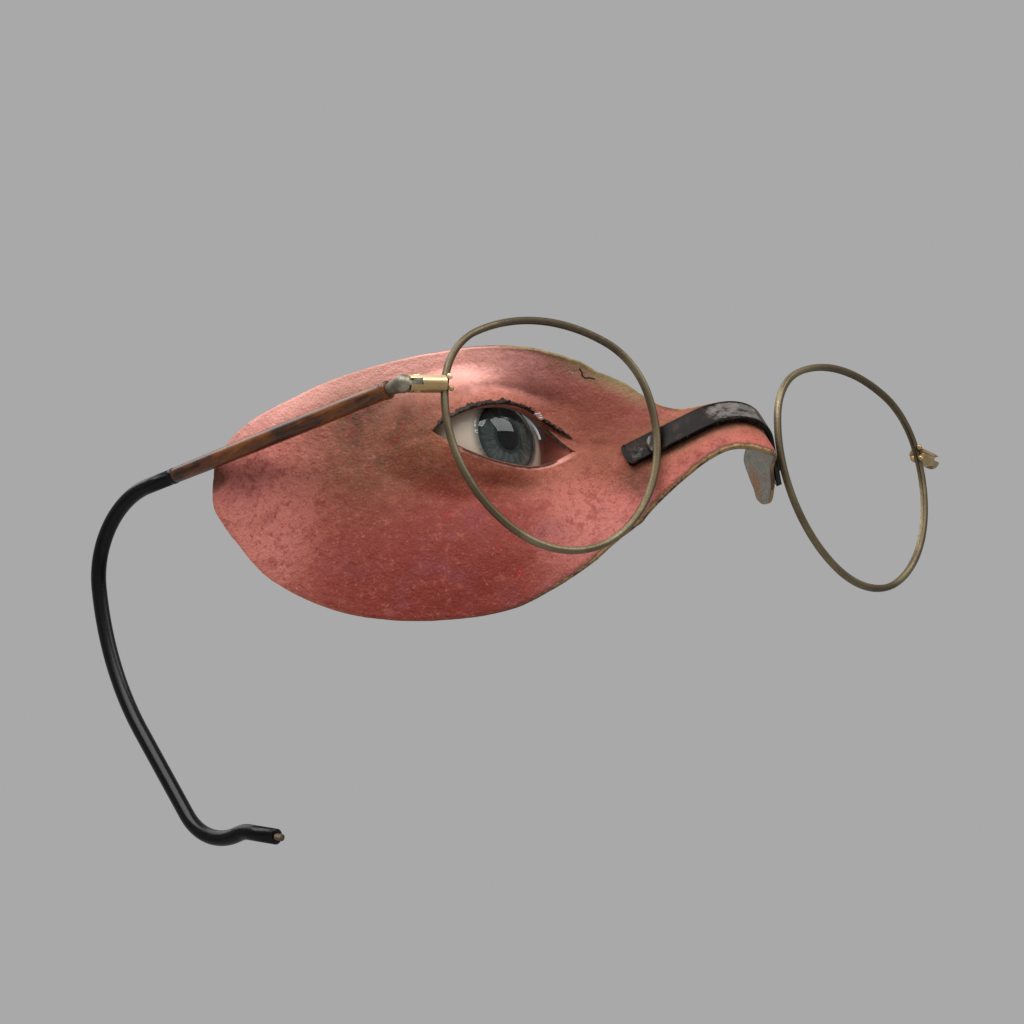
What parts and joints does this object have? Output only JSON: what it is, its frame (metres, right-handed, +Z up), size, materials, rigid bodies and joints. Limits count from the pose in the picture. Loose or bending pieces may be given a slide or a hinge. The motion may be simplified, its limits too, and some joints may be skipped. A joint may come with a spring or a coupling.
{
  "type": "facial prosthesis",
  "caption": "Painted metal plate with an eye for the right eye socket and cheek, soldered to wire spectacles by a strap over the nose; one riding temple folds at its hinge",
  "frame": {"origin": "on the back face of the plate, at the highest point of the saddle that sits on the bridge of the nose", "axes": "+X is the wearer's left, +Y runs back into the head, +Z is up; the plate covers the wearer's right side, at -X"},
  "size_m": [0.1266, 0.0898, 0.0771],
  "materials": {
    "painted_plate": "matt oil paint in skin tones over sheet copper, worn at the edges",
    "eye_white": "glossy enamel",
    "iris_paint": "painted blue-grey",
    "pupil_paint": "painted black",
    "cornea_glass": "clear and polished",
    "lug_metal": "dull grey, bare",
    "lash_foil": "dark painted foil",
    "strap_lacquer": "black lacquer, worn to grey metal on the crest",
    "solder": "dull, oxidised",
    "rim_brass": "aged, olive brown with pale highlights",
    "endpiece_brass": "pale, rubbed",
    "screw_brass": "rubbed",
    "butt_metal": "silvery, rubbed",
    "core_brass": "dull",
    "brown_sleeve": "mottled amber brown, polished",
    "black_sleeve": "black, polished"
  },
  "bodies": {
    "front": {"mask_plate": "painted_plate", "eye_shell": "eye_white", "eye_iris": "iris_paint", "eye_pupil": "pupil_paint", "eye_cornea": "cornea_glass", "eye_lugs": "lug_metal", "upper_lashes": "lash_foil", "lower_lashes": "lash_foil", "bridge_strap": "strap_lacquer", "strap_solder": "solder", "rim_solder": "solder", "right_rim": "rim_brass", "left_rim": "rim_brass", "right_endpiece_upper": "endpiece_brass", "right_endpiece_lower": "endpiece_brass", "left_endpiece_upper": "endpiece_brass", "left_endpiece_lower": "endpiece_brass", "hinge_screw": "screw_brass"},
    "right_temple": {"temple_butt": "butt_metal", "temple_core": "core_brass", "temple_sleeve": "brown_sleeve", "temple_collar": "black_sleeve", "curl_sleeve": "black_sleeve"}
  },
  "joints": [
    {"name": "temple_hinge", "type": "hinge", "parent": "front", "child": "right_temple", "pos_m": [-0.05679, 0.01232, 0.00297], "axis": [0, 0, 1], "range_deg": [0, 12]}
  ]
}
